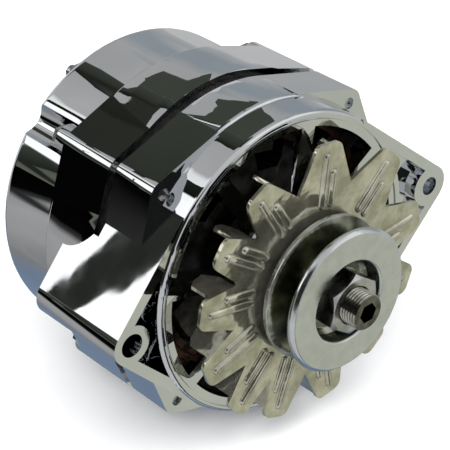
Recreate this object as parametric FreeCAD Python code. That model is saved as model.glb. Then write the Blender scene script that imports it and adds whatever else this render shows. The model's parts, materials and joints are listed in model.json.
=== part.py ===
import FreeCAD, Part
import math
import os

# Car alternator, all lengths in millimetres. The shaft lies along Y with the pulley toward -Y,
# +Z is up, and the origin is on the shaft at the middle of the belt groove.

V = FreeCAD.Vector
AXIS = V(0, 1, 0)
CENTRE = V(0, 0, 0)

# pulley, nut and fan
PULLEY_R = 31.75
PULLEY_HALF_WIDTH = 8.75
PULLEY_HUB_BACK = 11.5
GROOVE_TOP_HALF = 5.9
GROOVE_ROOT_HALF = 2.3
GROOVE_ROOT_R = 20.5
RECESS_R = 17.8
RECESS_FLOOR = 0.6
NUT_ACROSS_FLATS = 23.8
NUT_FRONT = -12.0
NUT_BACK = -1.8
FAN_R = 62.0
BLADE_ANGLES = (5, 42, 81, 118, 143, 168, 196, 223, 247, 277, 306, 335)
FAN_SHEET = 1.6
FAN_NOTCH_R = 44.5
FAN_TIP_HALF = 6.4
FAN_VANE_END = 27.0

# shaft and rotor
SHAFT_TIP = -19.3
THREAD_R = 7.9
THREAD_PITCH = 1.41
JOURNAL_R = 8.5
SHOULDER_R = 11.0
ROTOR_BORE_R = 9.5
ROTOR_R = 48.0
POLE_FRONT = 47.0
POLE_BACK = 87.0
POLE_DISC = 12.0
POLE_CORE_R = 18.0
CLAWS = 7
SLEEVE_FRONT = 93.0
SLEEVE_BACK = 114.0
SLIP_RING_R = 14.0
SLIP_RING_WIDTH = 5.0
SLIP_RING_Y = (96.0, 105.0)
REAR_JOURNAL_R = 7.5

# housing rings, front to back
RIM_FACE = 29.0
WALL_BACK = 33.5
RIM_R = 68.2
RIB_ANGLE = 31.0
BOSS_FRONT = 42.5
FRONT_SKIRT_R = 70.3
FRONT_SEAM = 65.0
REAR_SEAM = 68.8
REAR_SKIRT_R = 72.6
REAR_SKIRT_BACK = 98.5
BOSS_BACK = 104.0
SHELL_R = 69.7
SHELL_BACK = 132.5
REAR_WALL_FRONT = 128.5
CAVITY_R = 62.2
HUB_R = 28.0
HUB_FRONT = 27.2

# through bolts
BOLT_ANGLES = (45.0, 135.0, 225.0, 315.0)
BOLT_CIRCLE_R = 71.8
BOLT_R = 2.6
BOLT_BOSS_R = 6.5
BOLT_NOTCH_R = 7.8

# pivot foot and adjusting ear
FOOT_X = -81.0
FOOT_R = 8.8
FOOT_BORE_R = 5.15
FOOT_FRONT = 30.0
FOOT_LENGTH = 50.8
EAR_X = 87.0
EAR_R = 9.5
EAR_TAP_R = 4.25
EAR_FRONT = 29.0
EAR_BACK = 41.0
WEB = 4.5

# stator
STACK_R = 67.4
STACK_BORE_R = 48.6
STACK_FRONT = 54.0
STACK_BACK = 80.0
SLOTS = 36
SLOT_ROOT_R = 60.5

# front ball bearing
BEARING_FRONT = 30.0
BEARING_BACK = 42.0
BEARING_R = 20.0
BALL_R = 3.35
BALL_CIRCLE_R = 14.25
BALLS = 8

# rear roller bearing
CUP_R = 11.5
CUP_FRONT = 118.6
CUP_BACK = 128.4
ROLLER_R = 1.25
ROLLER_CIRCLE_R = 8.78
ROLLERS = 14

# brushes, brush holder, regulator and rectifier
BRUSH_WIDTH = 4.4
BRUSH_DEPTH = 7.0
BRUSH_LENGTH = 13.0
BRUSH_CONTACT_Z = -14.05
HOLDER_FLOOR_Z = -44.0
HOLDER_BACK = 113.0
REGULATOR_BACK = 122.0
HOLDER_SCREWS = ((-17.0, -40.0), (17.0, -40.0), (-17.0, -25.0))
SINK_FRONT = 113.0
SINK_SCREW_ANGLES = (12, 168)
SINK_SCREW_R = 45.0
DIODE_R = 6.35
DIODE_CIRCLE_R = 42.5
DIODE_ANGLES = (30, 54, 78, 102, 126, 150)
STUD_R = 3.175
STUD_END_R = 3.0
STUD_NUT_BACK = 140.9
STUD_ANGLE = 107.0
STUD_CIRCLE_R = 55.5
STUD_TIP = 146.0
GROUND_AT = (-58.0, 0.0)
TERMINAL_Z = (-36.6, -43.4)


def turned(points):
    """Solid of revolution about the shaft from (radius, y) corners."""
    wire = Part.makePolygon([V(r, y, 0) for r, y in points + points[:1]])
    return Part.Face(wire).revolve(CENTRE, AXIS, 360)


def rod(radius, y0, y1, x=0.0, z=0.0):
    return Part.makeCylinder(radius, y1 - y0, V(x, y0, z), AXIS)


def tube(outer, inner, y0, y1):
    return turned([(inner, y0), (outer, y0), (outer, y1), (inner, y1)])


def block(x0, x1, y0, y1, z0, z1):
    return Part.makeBox(x1 - x0, y1 - y0, z1 - z0, V(x0, y0, z0))


def turn(shape, degrees):
    """Copy turned about the shaft, counter-clockwise with X right and Z up."""
    copy = shape.copy()
    copy.rotate(CENTRE, AXIS, -degrees)
    return copy


def ring_of(shape, count, start=0.0):
    return [turn(shape, start + 360.0 * i / count) for i in range(count)]


def polar(radius, degrees):
    angle = math.radians(degrees)
    return radius * math.cos(angle), radius * math.sin(angle)


SINK_SCREWS = tuple(polar(SINK_SCREW_R, a) for a in SINK_SCREW_ANGLES)
DIODES_AT = tuple(polar(DIODE_CIRCLE_R, a) for a in DIODE_ANGLES)
STUD_AT = polar(STUD_CIRCLE_R, STUD_ANGLE)
BRUSH_Y = tuple(y + 0.5 * SLIP_RING_WIDTH for y in SLIP_RING_Y)


def union(first, others):
    return first.fuse(list(others)).removeSplitter()


def lobe(reach, small, big, y0, y1, degrees):
    """Plate running tangent from a circle on the shaft to a small circle away from it."""
    angle = math.acos((big - small) / reach)
    c, s = math.cos(angle), math.sin(angle)
    corners = [(big * c, big * s), (reach + small * c, small * s),
               (reach + small * c, -small * s), (big * c, -big * s)]
    wire = Part.makePolygon([V(x, y0, z) for x, z in corners + corners[:1]])
    plate = Part.Face(wire).extrude(V(0, y1 - y0, 0))
    return turn(plate.fuse(rod(small, y0, y1, reach)), degrees)


def sector(outer, inner, y0, y1, start, sweep):
    face = Part.Face(Part.makePolygon([V(r, y, 0) for r, y in
                                       [(inner, y0), (outer, y0), (outer, y1), (inner, y1), (inner, y0)]]))
    return turn(face.revolve(CENTRE, AXIS, -sweep), start)


def hexagon(across_flats, y0, y1, x=0.0, z=0.0):
    corner = across_flats / math.sqrt(3.0)
    points = [V(x + corner * math.cos(math.radians(60 * i)), y0,
                z + corner * math.sin(math.radians(60 * i))) for i in range(7)]
    return Part.Face(Part.makePolygon(points)).extrude(V(0, y1 - y0, 0))


def filleted(shape, radius, wanted):
    """Round the full circular edges that lie at the given (radius, y) places."""
    edges = []
    for edge in shape.Edges:
        curve = edge.Curve
        if isinstance(curve, Part.Circle):
            for r, y in wanted:
                if abs(curve.Radius - r) < 0.01 and abs(curve.Center.y - y) < 0.01:
                    edges.append(edge)
    return shape.makeFillet(radius, edges)


# ---------------------------------------------------------------- housing

def bolt_lobes(big, y0, y1):
    return [lobe(BOLT_CIRCLE_R, BOLT_BOSS_R, big, y0, y1, a) for a in BOLT_ANGLES]


def bolt_rods(radius, y0, y1):
    return [rod(radius, y0, y1, *polar(BOLT_CIRCLE_R, a)) for a in BOLT_ANGLES]


def pivot_foot():
    """Tubular pivot boss joined to the ring by a hollow three-sided leg."""
    back = FOOT_FRONT + FOOT_LENGTH
    leg = lobe(-FOOT_X, FOOT_R, RIM_R + 0.9, FOOT_FRONT, back, 180)
    saddle_x, saddle_r = -58.0, 16.0
    saddle_y = FRONT_SEAM + saddle_r
    saddle = Part.makeCylinder(saddle_r, 200, V(saddle_x, saddle_y, -100), V(0, 0, 1))
    behind = block(saddle_x, 0, FRONT_SEAM, 120, -100, 100)
    leg = leg.cut([saddle, behind, rod(CAVITY_R, 0, 100)])
    pocket = lobe(-FOOT_X, FOOT_R - WEB, RIM_R - WEB, FOOT_FRONT - 1, FRONT_SEAM - 5, 180)
    pocket = pocket.cut([rod(RIM_R, 0, 100), rod(FOOT_R, 0, 100, FOOT_X)])
    leg = leg.cut(pocket)
    boss = rod(FOOT_R, FOOT_FRONT, back, FOOT_X)
    return leg.fuse(boss.makeChamfer(0.8, [e for e in boss.Edges if isinstance(e.Curve, Part.Circle)]))


def adjusting_ear():
    ear = lobe(EAR_X, EAR_R, RIM_R, EAR_FRONT, EAR_BACK, 0)
    pocket = lobe(EAR_X, EAR_R - WEB, RIM_R - WEB, EAR_FRONT - 1, EAR_FRONT + 6, 0)
    pocket = pocket.cut([rod(RIM_R, 0, 100), rod(EAR_R, 0, 100, EAR_X)])
    return ear.cut(pocket)


def drive_end_frame():
    rim = turned([(0, RIM_FACE), (RIM_R, RIM_FACE), (RIM_R + 0.9, BOSS_FRONT), (RIM_R + 0.9, FRONT_SEAM),
                  (0, FRONT_SEAM)])
    rim = filleted(rim, 2.2, [(RIM_R, RIM_FACE)])
    skirt = filleted(rod(FRONT_SKIRT_R, BOSS_FRONT, FRONT_SEAM), 1.6, [(FRONT_SKIRT_R, BOSS_FRONT)])
    frame = union(rim, [skirt] + bolt_lobes(FRONT_SKIRT_R, BOSS_FRONT, FRONT_SEAM)
                  + [pivot_foot(), adjusting_ear()])
    frame = frame.cut([rod(CAVITY_R, WALL_BACK, FRONT_SEAM + 1), rod(STACK_R, STACK_FRONT, FRONT_SEAM + 1),
                       rod(REAR_SKIRT_R + 0.5, FRONT_SEAM, REAR_SKIRT_BACK)])
    window = tube(61.5, HUB_R + 3.0, RIM_FACE - 1, WALL_BACK + 1)
    window = window.cut(ring_of(block(0, 80, 0, 60, -3.6, 3.6), 8, RIB_ANGLE))
    frame = frame.cut(window)
    rim_groove = tube(65.6, 64.4, RIM_FACE - 1, RIM_FACE + 1.0)
    hub = rod(HUB_R, HUB_FRONT, BEARING_BACK)
    ribs = ring_of(block(HUB_R - 2, CAVITY_R + 1, RIM_FACE + 0.5, 39.0, -2.4, 2.4), 8, RIB_ANGLE)
    frame = frame.cut(rim_groove).fuse([hub] + ribs)
    holes = [rod(BEARING_R, BEARING_FRONT, 60), rod(13.5, 20, 40),
             rod(FOOT_BORE_R, 0, 100, FOOT_X), rod(EAR_TAP_R, 0, 60, EAR_X)]
    holes += bolt_rods(BOLT_R, 30, 90)
    holes += [rod(1.9, BEARING_BACK - 8, 50, *polar(24.0, a)) for a in (90, 210, 330)]
    return frame.cut(holes).removeSplitter()


def rear_frame():
    skirt = turned([(0, REAR_SEAM), (REAR_SKIRT_R, REAR_SEAM), (REAR_SKIRT_R - 0.6, REAR_SKIRT_BACK),
                    (0, REAR_SKIRT_BACK)])
    skirt = filleted(skirt, 1.4, [(REAR_SKIRT_R - 0.6, REAR_SKIRT_BACK)])
    shell = filleted(rod(SHELL_R, REAR_SEAM, SHELL_BACK), 4.5, [(SHELL_R, SHELL_BACK)])
    shell = shell.cut(bolt_rods(BOLT_NOTCH_R, REAR_SKIRT_BACK, SHELL_BACK + 1))
    bosses = bolt_lobes(REAR_SKIRT_R - 0.8, REAR_SEAM, REAR_SKIRT_BACK)
    bosses += bolt_rods(BOLT_BOSS_R, REAR_SKIRT_BACK, BOSS_BACK)
    frame = union(skirt, [shell] + bosses)
    frame = frame.cut([rod(STACK_R, REAR_SEAM - 1, STACK_BACK), rod(CAVITY_R, STACK_BACK, REAR_WALL_FRONT)])
    hub = rod(15.6, CUP_FRONT, SHELL_BACK + 2.0)
    posts = [rod(4.0, SINK_FRONT + 4, SHELL_BACK, x, z) for x, z in SINK_SCREWS]
    posts += [rod(3.6, REGULATOR_BACK, SHELL_BACK, x, z) for x, z in HOLDER_SCREWS]
    frame = frame.fuse([hub] + posts)
    a, b = REAR_WALL_FRONT - 1, SHELL_BACK + 1
    vents = [sector(59.0, 30.0, a, b, 19.5 + 22 * i, 13) for i in range(7)]
    vents += [sector(59.0, 36.0, a, b, start, 16) for start in (184, 340)]
    vents = [vent.cut(rod(8.5, a, b, *STUD_AT)) for vent in vents]
    holes = bolt_rods(BOLT_R + 0.3, REAR_SEAM - 1, BOSS_BACK + 1)
    holes += [rod(CUP_R, CUP_FRONT - 1, CUP_BACK), rod(5.4, a, b, *STUD_AT), rod(2.2, a, b, *GROUND_AT)]
    holes += [rod(1.8, SINK_FRONT, b, x, z) for x, z in SINK_SCREWS + HOLDER_SCREWS]
    holes.append(block(40, 80, 114.0, 120.8, -46.6, -33.4))
    return frame.cut(vents + holes).removeSplitter()


def through_bolts():
    bolts = []
    for a in BOLT_ANGLES:
        x, z = polar(BOLT_CIRCLE_R, a)
        head = hexagon(8.0, BOSS_BACK, BOSS_BACK + 4.5, x, z)
        bolts.append(rod(BOLT_R, BOSS_FRONT + 1.5, BOSS_BACK, x, z).fuse(head))
    return Part.makeCompound(bolts)


# ---------------------------------------------------------------- stator

def stator_core():
    core = tube(STACK_R, STACK_BORE_R, STACK_FRONT, STACK_BACK)
    slot = block(STACK_BORE_R + 1.2, SLOT_ROOT_R, STACK_FRONT - 1, STACK_BACK + 1, -2.5, 2.5)
    mouth = block(STACK_BORE_R - 2, STACK_BORE_R + 2, STACK_FRONT - 1, STACK_BACK + 1, -1.3, 1.3)
    return core.cut(ring_of(slot.fuse(mouth), SLOTS))


def stator_phase(number):
    """Wave winding: a bar in every third slot, joined in turn in front and behind."""
    inner = 50.2 + 3.4 * number
    outer = inner + 2.9
    pitch = 360.0 / SLOTS
    in_slot = block(50.3, 60.0, STACK_FRONT + 0.5, STACK_BACK - 0.5, -2.2, 2.2)
    exit_bar = block(inner + 0.2, outer - 0.1, STACK_FRONT - 7, STACK_BACK + 7, -2.0, 2.0)
    pieces = []
    for i in range(SLOTS // 3):
        angle = pitch * (3 * i + number)
        pieces += [turn(in_slot, angle), turn(exit_bar, angle)]
        y0 = STACK_FRONT - 9 if i % 2 == 0 else STACK_BACK + 4
        pieces.append(sector(outer, inner, y0, y0 + 5.0, angle - 2.3, 3 * pitch + 4.6))
    return pieces[0].fuse(pieces[1:])


# ---------------------------------------------------------------- rotor

def rotor_shaft():
    points = [(0, SHAFT_TIP)]
    y = SHAFT_TIP
    while y < 0.5:
        points += [(THREAD_R - 0.75, y), (THREAD_R, y + 0.5 * THREAD_PITCH)]
        y += THREAD_PITCH
    points += [(THREAD_R - 0.75, y), (JOURNAL_R, y), (JOURNAL_R, BEARING_BACK), (SHOULDER_R, BEARING_BACK),
               (SHOULDER_R, POLE_FRONT), (ROTOR_BORE_R, POLE_FRONT), (ROTOR_BORE_R, POLE_BACK),
               (9.0, POLE_BACK), (9.0, SLEEVE_FRONT), (8.0, SLEEVE_FRONT), (8.0, CUP_FRONT - 1.6),
               (REAR_JOURNAL_R, CUP_FRONT - 1.6), (REAR_JOURNAL_R, CUP_BACK - 1.2), (0, CUP_BACK - 1.2)]
    socket = hexagon(7.94, SHAFT_TIP - 1, SHAFT_TIP + 7)
    return turned(points).cut(socket)


def pole_piece(front):
    """Disc and core with claws reaching over the field coil."""
    mid = 0.5 * (POLE_FRONT + POLE_BACK)
    disc = turned([(ROTOR_BORE_R, POLE_FRONT), (36.5, POLE_FRONT), (36.5, POLE_FRONT + POLE_DISC),
                   (POLE_CORE_R, POLE_FRONT + POLE_DISC), (POLE_CORE_R, mid), (ROTOR_BORE_R, mid)])
    tip = POLE_BACK - 3
    corners = [(-11.0, POLE_FRONT), (11.0, POLE_FRONT), (11.0, POLE_FRONT + POLE_DISC), (4.2, tip),
               (-4.2, tip), (-11.0, POLE_FRONT + POLE_DISC)]
    wire = Part.makePolygon([V(37.5, y, z) for z, y in corners + corners[:1]])
    finger = Part.Face(wire).extrude(V(20, 0, 0))
    root = block(30.0, 50.0, POLE_FRONT, POLE_FRONT + POLE_DISC, -11.0, 11.0)
    limit = turned([(0, POLE_FRONT), (ROTOR_R - 1.2, POLE_FRONT), (ROTOR_R, POLE_FRONT + 1.2),
                    (ROTOR_R, tip), (0, tip)])
    disc_back = POLE_FRONT + POLE_DISC
    under = turned([(0, disc_back), (38.5, disc_back), (43.5, POLE_BACK), (0, POLE_BACK)])
    claw = finger.fuse(root).common(limit).cut(under)
    pole = union(disc, ring_of(claw, CLAWS))
    if front:
        return pole
    pole = pole.mirror(V(0, mid, 0), AXIS)
    return turn(pole, 180.0 / CLAWS)


def coil_bobbin():
    a, b = POLE_FRONT + POLE_DISC, POLE_BACK - POLE_DISC
    return turned([(POLE_CORE_R, a), (36.0, a), (36.0, a + 1.4), (POLE_CORE_R + 1.6, a + 1.4),
                   (POLE_CORE_R + 1.6, b - 1.4), (36.0, b - 1.4), (36.0, b), (POLE_CORE_R, b)])


def field_coil():
    a, b = POLE_FRONT + POLE_DISC + 1.4, POLE_BACK - POLE_DISC - 1.4
    points = [(POLE_CORE_R + 1.6, a), (35.0, a)]
    turns = 8
    step = (b - a) / turns
    for i in range(turns):
        points += [(35.5, a + (i + 0.5) * step), (35.0, a + (i + 1) * step)]
    points.append((POLE_CORE_R + 1.6, b))
    return turned(points)


def slip_ring_sleeve():
    points = [(8.0, SLEEVE_FRONT), (13.2, SLEEVE_FRONT)]
    for y in SLIP_RING_Y:
        points += [(13.2, y), (11.0, y), (11.0, y + SLIP_RING_WIDTH), (13.2, y + SLIP_RING_WIDTH)]
    return turned(points + [(13.2, SLEEVE_BACK), (8.0, SLEEVE_BACK)])


def pulley():
    return turned([
        (JOURNAL_R, RECESS_FLOOR), (15.5, RECESS_FLOOR), (RECESS_R, RECESS_FLOOR - 2.0),
        (RECESS_R, -PULLEY_HALF_WIDTH + 0.9), (RECESS_R + 0.9, -PULLEY_HALF_WIDTH),
        (PULLEY_R - 1.6, -PULLEY_HALF_WIDTH), (PULLEY_R, -PULLEY_HALF_WIDTH + 1.6),
        (PULLEY_R, -GROOVE_TOP_HALF),
        (GROOVE_ROOT_R, -GROOVE_ROOT_HALF), (GROOVE_ROOT_R, GROOVE_ROOT_HALF), (PULLEY_R, GROOVE_TOP_HALF),
        (PULLEY_R, PULLEY_HALF_WIDTH - 0.8), (PULLEY_R - 0.8, PULLEY_HALF_WIDTH), (17.5, PULLEY_HALF_WIDTH),
        (15.5, PULLEY_HUB_BACK), (JOURNAL_R, PULLEY_HUB_BACK)])


def fan_rib(x0, x1, z):
    """Half-round rib pressed out of the front of a blade that points along X."""
    y = PULLEY_HUB_BACK
    rib = Part.makeCylinder(2.1, x1 - x0, V(x0, y + 0.8, z), V(1, 0, 0))
    rib = rib.fuse([Part.makeSphere(2.1, V(x, y + 0.8, z)) for x in (x0, x1)])
    return rib.common(block(x0 - 3, x1 + 3, y - 2, y + 0.4, z - 3, z + 3))


def fan_point(x, z, degrees):
    """Point (x, z) of a blade that points along X, taken round to the blade's angle."""
    c, s = math.cos(math.radians(degrees)), math.sin(math.radians(degrees))
    return V(x * c - z * s, PULLEY_HUB_BACK, x * s + z * c)


def fan_vane(root, tip):
    """Strip folded back from the blade edge that runs from root to tip."""
    along = (tip - root).normalize()
    length = (tip - root).Length
    depth = FAN_VANE_END - PULLEY_HUB_BACK
    profile = [(2.0, 0), (length - 4.5, 0), (length - 4.5, depth - 3.5), (length - 7.5, depth - 1.2),
               (6.0, depth), (2.0, depth - 6.0)]
    wire = Part.makePolygon([root + along * out + V(0, back, 0) for out, back in profile + profile[:1]])
    return Part.Face(wire).extrude(V(-along.z, 0, along.x) * FAN_SHEET)


def fan():
    """Pressed fan: a sheet notched between its blades, each with two ribs and an edge folded back."""
    outline = []
    for angle, following in zip(BLADE_ANGLES, BLADE_ANGLES[1:] + (BLADE_ANGLES[0] + 360,)):
        outline += [fan_point(FAN_R, -FAN_TIP_HALF, angle), fan_point(FAN_R, FAN_TIP_HALF, angle),
                    fan_point(FAN_NOTCH_R, 0, 0.5 * (angle + following))]
    sheet = Part.Face(Part.makePolygon(outline + outline[:1])).extrude(V(0, FAN_SHEET, 0))
    corners = [e for e in sheet.Edges if abs(e.Length - FAN_SHEET) < 0.01
               and math.hypot(e.CenterOfMass.x, e.CenterOfMass.z) > FAN_R]
    sheet = sheet.makeFillet(4.0, corners)
    details = []
    for i, angle in enumerate(BLADE_ANGLES):
        details.append(fan_vane(outline[3 * i - 1], outline[3 * i]))
        details += [turn(fan_rib(35.0, end, z), angle) for end, z in ((56.5, 0.8), (48.5, -4.0))]
    bore = Part.makeCylinder(JOURNAL_R, 2 * FAN_SHEET, V(0, PULLEY_HUB_BACK - 1, 0), AXIS)
    return union(sheet, details).cut(bore)


def lock_washer():
    ring = tube(12.6, 8.2, NUT_BACK, RECESS_FLOOR)
    slit = block(7, 14, NUT_BACK - 1, RECESS_FLOOR + 1, -0.9, 0.9)
    return turn(ring.cut(slit), 70)


def pulley_nut():
    nut = hexagon(NUT_ACROSS_FLATS, NUT_FRONT, NUT_BACK)
    cone = turned([(0, NUT_FRONT), (11.6, NUT_FRONT), (13.9, NUT_FRONT + 1.4), (13.9, NUT_BACK),
                   (0, NUT_BACK)])
    bore = turned([(0, NUT_FRONT - 1), (9.2, NUT_FRONT - 1), (THREAD_R + 0.03, NUT_FRONT + 1.2),
                   (THREAD_R + 0.03, NUT_BACK + 1), (0, NUT_BACK + 1)])
    return turn(nut.common(cone).cut(bore), 22.0)


# ---------------------------------------------------------------- bearings

def ball_groove():
    y = 0.5 * (BEARING_FRONT + BEARING_BACK)
    return Part.makeTorus(BALL_CIRCLE_R, BALL_R + 0.03, V(0, y, 0), AXIS)


def front_outer_race():
    return tube(BEARING_R, 16.6, BEARING_FRONT, BEARING_BACK).cut(ball_groove())


def front_inner_race():
    return tube(11.9, JOURNAL_R, BEARING_FRONT, BEARING_BACK).cut(ball_groove())


def front_balls():
    y = 0.5 * (BEARING_FRONT + BEARING_BACK)
    return Part.makeCompound(ring_of(Part.makeSphere(BALL_R, V(BALL_CIRCLE_R, y, 0)), BALLS))


def front_cage():
    y = 0.5 * (BEARING_FRONT + BEARING_BACK)
    pocket = Part.makeCylinder(BALL_R + 0.12, 8, V(10, y, 0), V(1, 0, 0))
    return tube(15.2, 13.3, y - 4.3, y + 4.3).cut(ring_of(pocket, BALLS))


def bearing_retainer():
    plate = rod(23.0, BEARING_BACK, BEARING_BACK + 1.5)
    tabs = [rod(4.2, BEARING_BACK, BEARING_BACK + 1.5, *polar(24.0, a)) for a in (90, 210, 330)]
    holes = [rod(2.1, 30, 60, *polar(24.0, a)) for a in (90, 210, 330)]
    return union(plate, tabs).cut([rod(12.6, 30, 60)] + holes)


def retainer_screws():
    screws = []
    for a in (90, 210, 330):
        x, z = polar(24.0, a)
        top = BEARING_BACK + 1.5
        head = rod(3.4, top, top + 1.6, x, z).cut(block(x - 4, x + 4, top + 0.9, top + 2, z - 0.5, z + 0.5))
        screws.append(rod(1.85, BEARING_BACK - 7.5, top, x, z).fuse(head))
    return Part.makeCompound(screws)


def rear_cup():
    return turned([(ROLLER_CIRCLE_R + ROLLER_R + 0.02, CUP_FRONT), (CUP_R, CUP_FRONT), (CUP_R, CUP_BACK),
                   (0, CUP_BACK), (0, CUP_BACK - 0.9), (ROLLER_CIRCLE_R + ROLLER_R + 0.02, CUP_BACK - 0.9)])


def rear_rollers():
    roller = rod(ROLLER_R, CUP_FRONT + 1.2, CUP_BACK - 2.0, ROLLER_CIRCLE_R)
    return Part.makeCompound(ring_of(roller, ROLLERS))


def rear_cage():
    cage = tube(9.3, 8.2, CUP_FRONT + 0.4, CUP_BACK - 1.3)
    gap = rod(ROLLER_R + 0.06, CUP_FRONT + 1.1, CUP_BACK - 1.9, ROLLER_CIRCLE_R)
    return cage.cut(ring_of(gap, ROLLERS))


# ---------------------------------------------------------------- electrical parts

def brush(y):
    body = block(-BRUSH_DEPTH / 2, BRUSH_DEPTH / 2, y - BRUSH_WIDTH / 2, y + BRUSH_WIDTH / 2,
                 BRUSH_CONTACT_Z - BRUSH_LENGTH, BRUSH_CONTACT_Z + 2)
    return body.cut(rod(SLIP_RING_R + 0.05, SLEEVE_FRONT, SLEEVE_BACK))


def brush_spring(y):
    """Coil spring between the holder floor and the underside of a brush."""
    wire_r, coil_r, pitch = 0.35, 1.6, 2.9
    z0 = HOLDER_FLOOR_Z + wire_r
    height = BRUSH_CONTACT_Z - BRUSH_LENGTH - wire_r - z0
    path = Part.makeHelix(pitch, height, coil_r)
    path.translate(V(0, y, z0))
    section = Part.Wire([Part.makeCircle(wire_r, V(coil_r, y, z0), V(0, 1, 0))])
    return Part.Wire(path).makePipeShell([section], True, True)


def brush_holder():
    arm = HOLDER_BACK - 3.0
    body = block(-6.5, 6.5, SLEEVE_FRONT + 1, HOLDER_BACK, -47.0, -17.0)
    arms = [block(-21.5, 21.5, arm, HOLDER_BACK, -45.0, -34.5),
            block(-21.5, 0, arm, HOLDER_BACK, -34.5, -20.5)]
    depth, width = BRUSH_DEPTH / 2 + 0.15, BRUSH_WIDTH / 2 + 0.15
    cuts = [block(-depth, depth, y - width, y + width, HOLDER_FLOOR_Z, -10) for y in BRUSH_Y]
    cuts += [rod(2.0, arm - 1, HOLDER_BACK + 1, x, z) for x, z in HOLDER_SCREWS]
    return body.fuse(arms).cut(cuts).removeSplitter()


def voltage_regulator():
    base = block(-22.5, 22.5, HOLDER_BACK, REGULATOR_BACK, -50.0, -19.0)
    corners = [e for e in base.Edges if abs(e.Length - (REGULATOR_BACK - HOLDER_BACK)) < 1e-6]
    base = base.makeFillet(4.0, corners)
    cuts = [rod(2.0, HOLDER_BACK - 1, REGULATOR_BACK + 1, x, z) for x, z in HOLDER_SCREWS]
    cuts.append(block(19.0, 25, 115.1, 119.7, -47.0, -33.0))
    return base.cut(cuts)


def hex_screws(places, head):
    """Screws driven from the front into the rear wall, with heads resting at y = head."""
    return Part.makeCompound([rod(1.75, head, SHELL_BACK, x, z).fuse(hexagon(6.3, head - 2.8, head, x, z))
                              for x, z in places])


def terminal_blades():
    return Part.makeCompound([block(19.0, 60.0, 117.0, 117.8, z - 3.0, z + 3.0) for z in TERMINAL_Z])


def terminal_cap():
    cap = block(52.0, 66.5, 114.2, 120.6, -46.4, -33.6)
    return cap.cut([block(50, 60.4, 116.9, 117.9, z - 3.1, z + 3.1) for z in TERMINAL_Z])


def heat_sink():
    """Curved plate with four fins behind it; the output stud is clamped to it."""
    plate_back = SINK_FRONT + 4.0
    plate = sector(60.5, 31.0, SINK_FRONT, plate_back, 6, 168)
    fin_back = REAR_WALL_FRONT - 1.5
    fins = [sector(r + 1.4, r, plate_back, fin_back, 18, 144) for r in (32.5, 36.0, 50.0, 58.0)]
    cuts = [rod(DIODE_R, SINK_FRONT - 1, fin_back, x, z) for x, z in DIODES_AT]
    cuts += [rod(2.0, SINK_FRONT - 1, fin_back, x, z) for x, z in SINK_SCREWS]
    cuts += [rod(STUD_R, SINK_FRONT - 1, fin_back, *STUD_AT), rod(6.0, plate_back, fin_back, *STUD_AT)]
    return union(plate, fins).cut(cuts)


def diodes():
    cells = []
    for x, z in DIODES_AT:
        lead = rod(0.7, SINK_FRONT - 9, SINK_FRONT - 3, x, z)
        seal = rod(2.2, SINK_FRONT - 4.5, SINK_FRONT - 2.5, x, z)
        cells.append(rod(DIODE_R, SINK_FRONT - 2.5, SINK_FRONT + 4, x, z).fuse([lead, seal]))
    return Part.makeCompound(cells)


def diode_trio():
    body = sector(47.0, 35.0, SINK_FRONT, SINK_FRONT + 5, 178, 18)
    legs = [sector(48.0, 46.0, SINK_FRONT - 9, SINK_FRONT + 1, 180 + 6.5 * i, 1.6) for i in range(3)]
    return body.fuse(legs)


def capacitor():
    return Part.makeCylinder(5.0, 20.0, V(-46.0, REAR_WALL_FRONT - 5.0, -28.0), V(0, 0, 1))


def battery_stud():
    """Stud with a hexagonal head; the end beyond the nut takes the cable's ring terminal."""
    head = hexagon(9.5, SINK_FRONT - 4, SINK_FRONT, *STUD_AT)
    shank = rod(STUD_R, SINK_FRONT - 4, STUD_NUT_BACK, *STUD_AT)
    return shank.fuse([head, rod(STUD_END_R, STUD_NUT_BACK, STUD_TIP, *STUD_AT)])


def stud_insulator():
    bush = rod(5.3, SINK_FRONT + 4, SHELL_BACK, *STUD_AT)
    bush = bush.fuse(rod(6.6, SHELL_BACK, SHELL_BACK + 3.0, *STUD_AT))
    return bush.cut(rod(STUD_R, 90, 150, *STUD_AT))


def stud_nut():
    nut = hexagon(11.1, SHELL_BACK + 3.0, STUD_NUT_BACK, *STUD_AT)
    return nut.cut(rod(STUD_R, 90, 150, *STUD_AT))


def ground_screw():
    head = hexagon(8.0, SHELL_BACK, SHELL_BACK + 3.4, *GROUND_AT)
    return rod(2.15, REAR_WALL_FRONT - 3, SHELL_BACK, *GROUND_AT).fuse(head)


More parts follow.
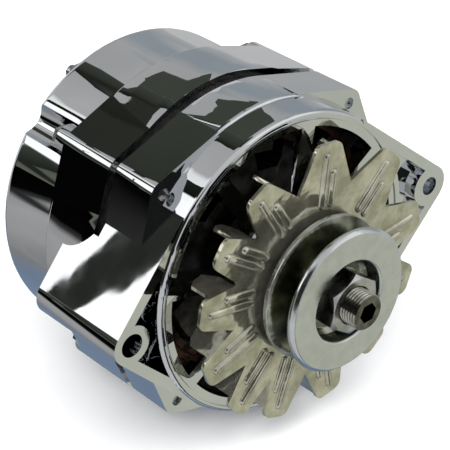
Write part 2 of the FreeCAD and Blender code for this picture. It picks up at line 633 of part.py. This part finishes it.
PARTS = {
    "drive_end_frame": drive_end_frame,
    "slip_ring_end_frame": rear_frame,
    "through_bolts": through_bolts,
    "stator_core": stator_core,
    "stator_winding_a": lambda: stator_phase(0),
    "stator_winding_b": lambda: stator_phase(1),
    "stator_winding_c": lambda: stator_phase(2),
    "rotor_shaft": rotor_shaft,
    "rotor_pole_front": lambda: pole_piece(True),
    "rotor_pole_rear": lambda: pole_piece(False),
    "coil_bobbin": coil_bobbin,
    "field_coil": field_coil,
    "slip_ring_sleeve": slip_ring_sleeve,
    "slip_ring_inner": lambda: tube(SLIP_RING_R, 11.0, SLIP_RING_Y[0], SLIP_RING_Y[0] + SLIP_RING_WIDTH),
    "slip_ring_outer": lambda: tube(SLIP_RING_R, 11.0, SLIP_RING_Y[1], SLIP_RING_Y[1] + SLIP_RING_WIDTH),
    "front_collar": lambda: tube(11.4, JOURNAL_R, PULLEY_HUB_BACK + FAN_SHEET, BEARING_FRONT),
    "fan": fan,
    "pulley": pulley,
    "lock_washer": lock_washer,
    "pulley_nut": pulley_nut,
    "front_bearing_outer_race": front_outer_race,
    "front_bearing_inner_race": front_inner_race,
    "front_bearing_balls": front_balls,
    "front_bearing_cage": front_cage,
    "bearing_retainer": bearing_retainer,
    "retainer_screws": retainer_screws,
    "rear_bearing_cup": rear_cup,
    "rear_bearing_rollers": rear_rollers,
    "rear_bearing_cage": rear_cage,
    "brush_holder": brush_holder,
    "brush_inner": lambda: brush(BRUSH_Y[0]),
    "brush_outer": lambda: brush(BRUSH_Y[1]),
    "brush_spring_inner": lambda: brush_spring(BRUSH_Y[0]),
    "brush_spring_outer": lambda: brush_spring(BRUSH_Y[1]),
    "voltage_regulator": voltage_regulator,
    "holder_screws": lambda: hex_screws(HOLDER_SCREWS, HOLDER_BACK - 3),
    "terminal_blades": terminal_blades,
    "terminal_cap": terminal_cap,
    "rectifier_heat_sink": heat_sink,
    "rectifier_screws": lambda: hex_screws(SINK_SCREWS, SINK_FRONT),
    "diodes": diodes,
    "diode_trio": diode_trio,
    "capacitor": capacitor,
    "battery_stud": battery_stud,
    "stud_insulator": stud_insulator,
    "stud_nut": stud_nut,
    "ground_screw": ground_screw,
}

os.makedirs("parts", exist_ok=True)
for name, make in PARTS.items():
    make().exportStep("parts/%s.step" % name)
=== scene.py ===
import json
import math

import bpy
import bmesh
from mathutils import Matrix, Vector


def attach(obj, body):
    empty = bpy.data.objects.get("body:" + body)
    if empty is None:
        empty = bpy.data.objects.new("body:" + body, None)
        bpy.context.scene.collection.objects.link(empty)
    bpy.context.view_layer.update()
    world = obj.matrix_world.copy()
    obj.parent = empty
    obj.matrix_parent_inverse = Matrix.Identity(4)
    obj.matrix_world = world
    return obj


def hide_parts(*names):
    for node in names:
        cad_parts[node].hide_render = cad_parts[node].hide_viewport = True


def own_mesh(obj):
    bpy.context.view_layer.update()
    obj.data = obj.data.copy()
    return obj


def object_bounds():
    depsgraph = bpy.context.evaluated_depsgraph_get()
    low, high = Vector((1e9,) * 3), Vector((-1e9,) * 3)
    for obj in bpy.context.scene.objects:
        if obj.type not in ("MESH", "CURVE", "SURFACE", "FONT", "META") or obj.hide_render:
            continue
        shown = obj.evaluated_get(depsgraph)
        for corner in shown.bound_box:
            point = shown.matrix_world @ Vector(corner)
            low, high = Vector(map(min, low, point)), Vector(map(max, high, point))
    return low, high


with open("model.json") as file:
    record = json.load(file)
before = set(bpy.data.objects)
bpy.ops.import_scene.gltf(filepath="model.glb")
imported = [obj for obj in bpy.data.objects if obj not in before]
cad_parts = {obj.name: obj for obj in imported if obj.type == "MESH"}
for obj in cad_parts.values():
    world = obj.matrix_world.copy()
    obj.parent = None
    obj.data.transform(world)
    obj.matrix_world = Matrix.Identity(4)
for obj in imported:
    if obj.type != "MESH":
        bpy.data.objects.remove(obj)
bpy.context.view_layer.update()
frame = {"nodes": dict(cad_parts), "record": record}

NODES = frame["nodes"]
MM = 0.001

# Where the camera stands, in metres and unit vectors of the CAD frame.
CAMERA_AT = Vector((-0.4241, -0.4368, 0.4291))
CAMERA_BACK = Vector((-0.5393, -0.6429, 0.5440))
CAMERA_RIGHT = Vector((0.7486, -0.6618, -0.0400))
CAMERA_LENS = 147.0
CAMERA_SENSOR = 36.0
CAMERA_SHIFT_X = 0.008

# The light tent is a cylinder round the shaft, with the flags hung just inside it, in metres.
TENT_RADIUS = 1.5
FLAG_GAP = 0.02
TENT_ENDS = (-0.4, 3.6)
TENT_STEP_DEGREES = 3

# Where the pulley's recess and belt groove end, which bounds the painted shade in them, and where the
# shaft's thread runs, below which its grooves get painted shade, in millimetres.
RECESS_EDGE_MM = (17.9, 18.5)
GROOVE_EDGE_MM = (5.8, 6.1)
THREAD_MM = (7.3, 7.85)
LAMINATION_MM = 0.8

PLAIN = (1, 1, 1)
SKY_BLUE = (0.88, 1.0, 1.07)
BLUE = (0.75, 1.0, 1.4)
MOSS = (0.9, 1.0, 0.8)


# ---------------------------------------------------------------- material helpers

class Surface:
    """A Principled material whose inputs are driven by noise in object space, in metres."""

    def __init__(self, name, metallic=0.0):
        self.material = bpy.data.materials.new(name)
        self.material.use_nodes = True
        self.nodes = self.material.node_tree.nodes
        self.links = self.material.node_tree.links
        self.shader = self.nodes["Principled BSDF"]
        self.shader.inputs["Metallic"].default_value = metallic
        self.coordinates = self.nodes.new("ShaderNodeTexCoord").outputs["Object"]

    def stretched(self, scale):
        mapping = self.nodes.new("ShaderNodeMapping")
        mapping.inputs["Scale"].default_value = scale
        self.links.new(self.coordinates, mapping.inputs["Vector"])
        return mapping.outputs["Vector"]

    def noise(self, size_mm, detail=3.0, stretch=(1, 1, 1)):
        """Noise between 0 and 1 with features about size_mm across."""
        texture = self.nodes.new("ShaderNodeTexNoise")
        texture.inputs["Scale"].default_value = 1000.0 / size_mm
        texture.inputs["Detail"].default_value = detail
        self.links.new(self.stretched(stretch), texture.inputs["Vector"])
        return texture.outputs["Fac"]

    def rings(self, spacing_mm):
        """Turned rings round the shaft axis, between 0 and 1."""
        texture = self.nodes.new("ShaderNodeTexWave")
        texture.wave_type = "RINGS"
        texture.rings_direction = "Y"
        texture.inputs["Scale"].default_value = 1000.0 / spacing_mm / 3.1416
        texture.inputs["Distortion"].default_value = 0.4
        self.links.new(self.coordinates, texture.inputs["Vector"])
        return texture.outputs["Fac"]

    def radius_mm(self):
        """Distance from the shaft axis."""
        length = self.nodes.new("ShaderNodeVectorMath")
        length.operation = "LENGTH"
        self.links.new(self.stretched((1000, 0, 1000)), length.inputs[0])
        return length.outputs["Value"]

    def offset_mm(self):
        """Distance along the shaft from the middle of the belt groove, either way."""
        length = self.nodes.new("ShaderNodeVectorMath")
        length.operation = "LENGTH"
        self.links.new(self.stretched((0, 1000, 0)), length.inputs[0])
        return length.outputs["Value"]

    def both(self, first, second):
        product = self.nodes.new("ShaderNodeMath")
        product.operation = "MULTIPLY"
        self.links.new(first, product.inputs[0])
        self.links.new(second, product.inputs[1])
        return product.outputs["Value"]

    def mix(self, value, first, second):
        """Colour mixed from two colour sockets."""
        mixer = self.nodes.new("ShaderNodeMix")
        mixer.data_type = "RGBA"
        self.links.new(value, mixer.inputs["Factor"])
        self.links.new(first, mixer.inputs["A"])
        self.links.new(second, mixer.inputs["B"])
        return mixer.outputs["Result"]

    def spread(self, value, low, high, start=0.3, end=0.7):
        """Remaps a 0 to 1 value to low..high."""
        remap = self.nodes.new("ShaderNodeMapRange")
        remap.inputs["From Min"].default_value = start
        remap.inputs["From Max"].default_value = end
        remap.inputs["To Min"].default_value = low
        remap.inputs["To Max"].default_value = high
        self.links.new(value, remap.inputs["Value"])
        return remap.outputs["Result"]

    def blend(self, value, first, second, start=0.35, end=0.65):
        ramp = self.nodes.new("ShaderNodeValToRGB")
        ramp.color_ramp.elements[0].position = start
        ramp.color_ramp.elements[0].color = (*first, 1)
        ramp.color_ramp.elements[1].position = end
        ramp.color_ramp.elements[1].color = (*second, 1)
        self.links.new(value, ramp.inputs["Fac"])
        return ramp.outputs["Color"]

    def colour(self, value):
        self.links.new(value, self.shader.inputs["Base Color"])

    def roughness(self, value):
        self.links.new(value, self.shader.inputs["Roughness"])

    def bumps(self, *layers):
        """Each layer is (height value, depth in mm)."""
        normal = None
        for height, depth_mm in layers:
            bump = self.nodes.new("ShaderNodeBump")
            bump.inputs["Strength"].default_value = 1.0
            bump.inputs["Distance"].default_value = depth_mm * MM
            self.links.new(height, bump.inputs["Height"])
            if normal is not None:
                self.links.new(normal, bump.inputs["Normal"])
            normal = bump.outputs["Normal"]
        self.links.new(normal, self.shader.inputs["Normal"])


def polished_plating(name):
    """Bright plating over a hand-polished casting: slightly wavy, with faint haze."""
    s = Surface(name, metallic=1.0)
    s.colour(s.blend(s.noise(30.0), (0.60, 0.62, 0.64), (0.66, 0.67, 0.68)))
    s.roughness(s.spread(s.noise(9.0, 5.0), 0.01, 0.035))
    s.bumps((s.noise(34.0, 1.0), 0.11), (s.noise(13.0, 1.0), 0.012), (s.noise(0.6, 3.0), 0.0006))
    return s.material


def worked_metal(name, dark, light, rough, patch_mm=8.0, wave_mm=0.06, grain_mm=0.01, metallic=1.0):
    """Plated or bare sheet and bar metal with patchy gloss and a fine grain."""
    s = Surface(name, metallic=metallic)
    s.colour(s.blend(s.noise(patch_mm, 5.0), dark, light))
    s.roughness(s.spread(s.noise(patch_mm * 0.6, 6.0), *rough))
    s.bumps((s.noise(9.0, 2.0), wave_mm), (s.noise(0.7, 4.0), grain_mm))
    return s.material


def turned_metal(name, dark, light, rough, ring_mm=0.5, depth_mm=0.004, wave_mm=0.0):
    """Metal turned on a lathe round the shaft, with fine tool rings."""
    s = Surface(name, metallic=1.0)
    s.colour(s.blend(s.noise(6.0, 5.0), dark, light))
    s.roughness(s.spread(s.noise(4.0, 5.0), *rough))
    s.bumps((s.rings(ring_mm), depth_mm), (s.noise(0.5, 3.0), 0.003), (s.noise(14.0, 1.0), wave_mm))
    return s.material


def pulley_metal(name):
    """Turned steel, with painted shade darkening the belt groove and the nut's recess, broken by brighter
    patches that are painted reflections.
    """
    s = Surface(name, metallic=1.0)
    # The masks mark where the painted shade of the recess and the groove stops; bright is the unshaded
    # rest.
    outside = s.spread(s.radius_mm(), 0, 1, *RECESS_EDGE_MM)
    beside = s.spread(s.offset_mm(), 0, 1, *GROOVE_EDGE_MM)
    bright = s.both(outside, beside)
    # Painted shade: near-black colour in the belt groove and the nut's recess, with brighter olive patches
    # as painted reflections.
    groove_and_recess_painted_shade = s.blend(s.noise(13.0, 2.0), (0.03, 0.035, 0.03), (0.40, 0.41, 0.33))
    unshaded_colour = s.blend(s.noise(6.0, 5.0), (0.56, 0.58, 0.58), (0.62, 0.64, 0.64))
    s.colour(s.mix(bright, groove_and_recess_painted_shade, unshaded_colour))
    s.roughness(s.spread(s.noise(4.0, 5.0), 0.12, 0.24))
    s.bumps((s.rings(0.4), 0.003), (s.noise(0.5, 3.0), 0.003), (s.noise(14.0, 1.0), 0.03))
    return s.material


def threaded_metal(name):
    """Turned steel, with painted shade darkening the grooves of its thread below the bright crests."""
    s = Surface(name, metallic=1.0)
    # Painted shade: the colour below the thread's crests is darkened to stand for the shade in its
    # grooves.
    dark = s.blend(s.noise(5.0, 4.0), (0.07, 0.068, 0.056), (0.18, 0.175, 0.15))
    light = s.blend(s.noise(3.0, 4.0), (0.36, 0.35, 0.29), (0.62, 0.60, 0.52))
    s.colour(s.mix(s.spread(s.radius_mm(), 0, 1, *THREAD_MM), dark, light))
    s.roughness(s.spread(s.noise(4.0, 5.0), 0.08, 0.2))
    s.bumps((s.rings(0.35), 0.003), (s.noise(0.5, 3.0), 0.003))
    return s.material


def laminated(name):
    """Edges of thin pressed sheets stacked along the shaft, under dark lacquer."""
    s = Surface(name, metallic=0.6)
    sheets = s.nodes.new("ShaderNodeTexWave")
    sheets.bands_direction = "Y"
    sheets.inputs["Scale"].default_value = 1000.0 / LAMINATION_MM / 6.2832
    s.links.new(s.coordinates, sheets.inputs["Vector"])
    s.colour(s.blend(s.noise(5.0, 5.0), (0.012, 0.012, 0.013), (0.05, 0.045, 0.04)))
    s.roughness(s.spread(s.noise(3.0, 4.0), 0.35, 0.6))
    s.bumps((sheets.outputs["Fac"], 0.12), (s.noise(1.0, 4.0), 0.03))
    return s.material


def enamelled_wire(name, dark, light):
    """Varnished winding wire, coloured near black as painted shade inside the housing."""
    s = Surface(name, metallic=0.85)
    s.colour(s.blend(s.noise(4.0, 4.0), dark, light))
    s.roughness(s.spread(s.noise(2.5, 4.0), 0.22, 0.42))
    s.bumps((s.noise(1.2, 3.0), 0.03), (s.noise(0.4, 2.0), 0.008))
    return s.material


def moulded(name, dark, light, rough, grain_mm=0.03, grain_size_mm=0.5):
    """Plastic, rubber, carbon or foil with a matt grain."""
    s = Surface(name)
    s.colour(s.blend(s.noise(7.0, 4.0), dark, light))
    s.roughness(s.spread(s.noise(3.0, 5.0), *rough))
    s.bumps((s.noise(grain_size_mm, 4.0), grain_mm), (s.noise(12.0, 1.0), 0.05))
    return s.material


def make_materials():
    """One material for each material slot that the part's record names."""
    recipes = (
        (polished_plating, "polished_frame"),
        (worked_metal, "plated_steel", (0.34, 0.34, 0.33), (0.54, 0.54, 0.53), (0.18, 0.36)),
        (laminated, "laminations"),
        # Painted shade: the winding's copper is darkened to near black to stand for the shade inside the
        # housing.
        (enamelled_wire, "winding_copper", (0.02, 0.009, 0.005), (0.08, 0.03, 0.012)),
        (worked_metal, "pole_steel", (0.05, 0.048, 0.045), (0.14, 0.13, 0.12), (0.35, 0.6),
         5.0, 0.05, 0.03),
        (moulded, "bobbin_plastic", (0.55, 0.50, 0.38), (0.66, 0.62, 0.50), (0.4, 0.6)),
        (turned_metal, "slip_copper", (0.60, 0.28, 0.14), (0.74, 0.42, 0.24), (0.15, 0.35), 0.3),
        (threaded_metal, "shaft_steel"),
        (worked_metal, "fan_steel", (0.34, 0.33, 0.25), (0.58, 0.56, 0.46), (0.05, 0.18),
         9.0, 0.42, 0.0004, 0.92),
        (pulley_metal, "pulley_steel"),
        (turned_metal, "bearing_steel", (0.62, 0.63, 0.64), (0.72, 0.73, 0.74), (0.05, 0.14), 0.25, 0.001),
        (worked_metal, "cage_brass", (0.50, 0.34, 0.12), (0.70, 0.52, 0.24), (0.2, 0.35)),
        (moulded, "black_plastic", (0.010, 0.010, 0.011), (0.03, 0.03, 0.032), (0.3, 0.5)),
        (moulded, "carbon", (0.02, 0.02, 0.021), (0.06, 0.06, 0.062), (0.4, 0.7), 0.05, 0.3),
        (worked_metal, "spring_steel", (0.35, 0.35, 0.37), (0.5, 0.5, 0.52), (0.2, 0.35)),
        (worked_metal, "terminal_tin", (0.55, 0.55, 0.52), (0.72, 0.72, 0.69), (0.2, 0.4)),
        (moulded, "cap_rubber", (0.012, 0.012, 0.012), (0.035, 0.034, 0.032), (0.55, 0.8), 0.06, 0.8),
        (worked_metal, "sink_aluminium", (0.48, 0.49, 0.50), (0.64, 0.65, 0.66), (0.3, 0.5),
         6.0, 0.08, 0.03),
        (moulded, "capacitor_foil", (0.42, 0.28, 0.05), (0.58, 0.42, 0.10), (0.15, 0.3), 0.01),
        (moulded, "insulator_red", (0.20, 0.02, 0.015), (0.32, 0.04, 0.03), (0.3, 0.5)),
    )
    return {name: maker(name, *values) for maker, name, *values in recipes}


def dress_nodes(materials):
    """Gives every CAD node the material of its slot."""
    for part in frame["record"]["subparts"]:
        node = NODES[part["node"]]
        node.data.materials.clear()
        node.data.materials.append(materials[part["material_slot"]])


def round_edges(name, width_mm, segments=2, angle=35.0):
    """Joins the node's split corners and rounds its sharp edges, as casting and polishing leave them."""
    node = NODES[name]
    weld = node.modifiers.new("weld", "WELD")
    weld.merge_threshold = 1e-6
    bevel = node.modifiers.new("bevel", "BEVEL")
    bevel.width = width_mm * MM
    bevel.segments = segments
    bevel.limit_method = "ANGLE"
    bevel.angle_limit = math.radians(angle)
    bevel.harden_normals = True
    bevel.use_clamp_overlap = True


def compressible_spring(node_name):
    """Stands for a brush spring: a copy of the node's mesh, attached to the housing, with the node itself
    hidden.
    """
    spring = bpy.data.objects.new(node_name + "_coil", NODES[node_name].data.copy())
    bpy.context.collection.objects.link(spring)
    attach(spring, "housing")
    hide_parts(node_name)
    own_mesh(spring)


# ---------------------------------------------------------------- studio

def glow(name, colour, strength):
    """Plain emission."""
    material = bpy.data.materials.new(name)
    material.use_nodes = True
    nodes, links = material.node_tree.nodes, material.node_tree.links
    nodes.clear()
    shine = nodes.new("ShaderNodeEmission")
    shine.inputs["Color"].default_value = (*colour, 1)
    shine.inputs["Strength"].default_value = strength
    links.new(shine.outputs["Emission"], nodes.new("ShaderNodeOutputMaterial").inputs["Surface"])
    return material


def painted_glow():
    """Emission whose colour and strength come from the mesh's own colour layer."""
    material = glow("tent_glow", PLAIN, 1.0)
    nodes, links = material.node_tree.nodes, material.node_tree.links
    paint = nodes.new("ShaderNodeVertexColor")
    paint.layer_name = "glow"
    links.new(paint.outputs["Color"], nodes["Emission"].inputs["Color"])
    return material


def reflector(mesh_object, material):
    """A studio panel that shows only in reflections."""
    mesh_object.data.materials.append(material)
    mesh_object.visible_camera = False
    mesh_object.visible_diffuse = False
    mesh_object.visible_shadow = False


def tent_strip(name, edges, y_range, radius, material):
    """Strip of the light tent: edges holds (angle at the pulley end, angle at the far end, colour)."""
    mesh = bmesh.new()
    layer = mesh.loops.layers.float_color.new("glow")
    rows = []
    for near, far, colour in edges:
        row = []
        for y, degrees in zip(y_range, (near, far)):
            angle = math.radians(degrees)
            row.append(mesh.verts.new((radius * math.cos(angle), y, radius * math.sin(angle))))
        rows.append((row, colour))
    for (first, first_colour), (second, second_colour) in zip(rows, rows[1:]):
        face = mesh.faces.new((first[0], second[0], second[1], first[1]))
        for loop, colour in zip(face.loops, (first_colour, second_colour, second_colour, first_colour)):
            loop[layer] = (*colour, 1)
    data = bpy.data.meshes.new(name)
    mesh.to_mesh(data)
    mesh.free()
    strip = bpy.data.objects.new(name, data)
    bpy.context.collection.objects.link(strip)
    reflector(strip, material)


def steps_between(start, end):
    """Angles from start to end in equal steps of about TENT_STEP_DEGREES, without the end."""
    count = max(1, round((end - start) / TENT_STEP_DEGREES))
    return [start + (end - start) * i / count for i in range(count)]


def tent(stops, material):
    """Tent round the shaft, its glow running from stop to stop; a repeated angle is a hard edge."""
    edges = []
    for (start, low, tint), (end, high, next_tint) in zip(stops, stops[1:]):
        first = Vector(tint) * low
        last = Vector(next_tint) * high
        for angle in steps_between(start, end):
            share = (angle - start) / (end - start) if end > start else 0.0
            edges.append((angle, angle, first.lerp(last, share)))
    angle, brightness, tint = stops[-1]
    edges.append((angle, angle, Vector(tint) * brightness))
    tent_strip("tent", edges, TENT_ENDS, TENT_RADIUS, material)


def flag(name, near, far, brightness, y_range, material):
    """Grey or black cloth inside the tent: near and far give its two angles at each end."""
    colour = [brightness * tint for tint in MOSS]
    edges = [(a, b, colour) for a, b in zip(near, far)]
    tent_strip(name, edges, y_range, TENT_RADIUS - FLAG_GAP, material)


def card(name, direction, distance, width, height, brightness, tint=PLAIN):
    """Flat panel facing the object."""
    direction = Vector(direction).normalized()
    bpy.ops.mesh.primitive_plane_add(size=1.0)
    panel = bpy.context.object
    panel.name = name
    panel.scale = (width, height, 1)
    panel.rotation_mode = "QUATERNION"
    panel.rotation_quaternion = (-direction).to_track_quat("Z", "Y")
    panel.location = direction * distance
    reflector(panel, glow(name, tint, brightness))


def soft_light(name, at, size, power):
    """Square lamp aimed at the origin that doesn't show in reflections."""
    lamp = bpy.data.lights.new(name, "AREA")
    lamp.size = size
    lamp.energy = power
    light = bpy.data.objects.new(name, lamp)
    light.location = at
    light.rotation_mode = "QUATERNION"
    light.rotation_quaternion = Vector(at).to_track_quat("Z", "Y")
    light.visible_glossy = False
    bpy.context.collection.objects.link(light)


def light_world():
    """Even, faintly cool light from all round."""
    world = bpy.data.worlds.new("studio")
    bpy.context.scene.world = world
    world.use_nodes = True
    sky = world.node_tree.nodes["Background"]
    sky.inputs["Color"].default_value = (0.97, 0.985, 1.0, 1)
    sky.inputs["Strength"].default_value = 0.72


def lay_floor():
    """Pale floor just under the object, left out of the plating's reflections."""
    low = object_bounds()[0]
    bpy.ops.mesh.primitive_plane_add(size=12.0, location=(0, 0.5, low.z - 0.0002))
    floor = bpy.context.object
    floor.name = "floor"
    floor.visible_glossy = False
    s = Surface("floor")
    s.colour(s.blend(s.noise(60.0, 3.0), (0.87, 0.87, 0.87), (0.90, 0.90, 0.90)))
    s.roughness(s.spread(s.noise(25.0, 3.0), 0.7, 0.85))
    floor.data.materials.append(s.material)


def hang_panels():
    """Everything that the plating reflects. Tent stops are (angle, brightness, tint)."""
    shine = painted_glow()
    tent((
        (-60, 0.27, BLUE), (-20, 0.55, PLAIN), (0, 0.61, PLAIN), (3, 0.50, PLAIN),
        (18, 0.39, SKY_BLUE), (34, 0.40, SKY_BLUE), (44, 0.49, PLAIN), (76, 0.50, PLAIN),
        (76, 0.07, MOSS), (83, 0.045, MOSS), (87, 0.012, MOSS), (87, 0.50, PLAIN),
        (111, 0.56, PLAIN), (114, 1.1, PLAIN), (119, 1.2, PLAIN),
        (119, 0.02, MOSS), (127, 0.01, MOSS), (128, 1.5, PLAIN), (152, 1.7, PLAIN), (154, 0.5, PLAIN),
        (156, 0.07, MOSS), (168, 0.025, MOSS), (169, 0.14, MOSS), (172, 0.18, MOSS), (173, 0.001, PLAIN),
        (188, 0.002, PLAIN), (192, 0.05, PLAIN), (196, 0.40, PLAIN), (204, 0.48, PLAIN),
        (225, 0.42, PLAIN), (242, 0.29, PLAIN), (260, 0.27, BLUE), (300, 0.27, BLUE),
    ), shine)
    flag("flag_grey", (41, 76), (65, 76), 0.075, (1.2, 1.7), shine)
    flag("flag_grey_near", (56, 76), (41, 76), 0.075, (0.8, 1.2), shine)
    flag("flag_boss", (86, 106), (86, 106), 0.035, (1.1, 1.58), shine)
    flag("softbox_bar", (138.8, 143.6), (149.4, 157.4), 0.03, (1.25, 1.42), shine)
    card("front_flag", (-0.75, -1, 0.3), 1.8, 1.6, 1.6, 0.02)
    card("front_softbox", (0.9, -1, 0.7), 1.7, 1.2, 1.0, 1.1)
    card("low_flag", (0.28, -0.68, -0.62), 2.0, 1.1, 2.0, 0.05)
    card("low_card", (0.62, -0.60, -0.53), 1.8, 1.1, 1.8, 0.62, (0.98, 1.0, 0.84))


def build_studio():
    """Pale floor, soft lamps, and a tent whose strips make the bands in the plating."""
    light_world()
    lay_floor()
    hang_panels()
    soft_light("key", (-0.9, -0.6, 1.5), 1.6, 42.0)
    soft_light("fill", (1.4, -0.9, 1.1), 1.6, 30.0)


def place_camera():
    """Camera at the angle the object is seen from, without depth of field."""
    data = bpy.data.cameras.new("camera")
    data.lens = CAMERA_LENS
    data.sensor_width = CAMERA_SENSOR
    data.shift_x = CAMERA_SHIFT_X
    data.clip_start = 0.01
    camera = bpy.data.objects.new("camera", data)
    up = CAMERA_BACK.cross(CAMERA_RIGHT)
    turn = Matrix((CAMERA_RIGHT, up, CAMERA_BACK)).transposed()
    camera.rotation_mode = "QUATERNION"
    camera.rotation_quaternion = turn.to_quaternion()
    camera.location = CAMERA_AT
    bpy.context.collection.objects.link(camera)
    bpy.context.scene.camera = camera


dress_nodes(make_materials())
for frame_name in ("drive_end_frame", "slip_ring_end_frame"):
    round_edges(frame_name, 0.7, 3)
round_edges("pulley", 0.3)
round_edges("fan", 0.25)
compressible_spring("brush_spring_inner")
compressible_spring("brush_spring_outer")
build_studio()
place_camera()
bpy.context.scene.view_settings.view_transform = "Standard"
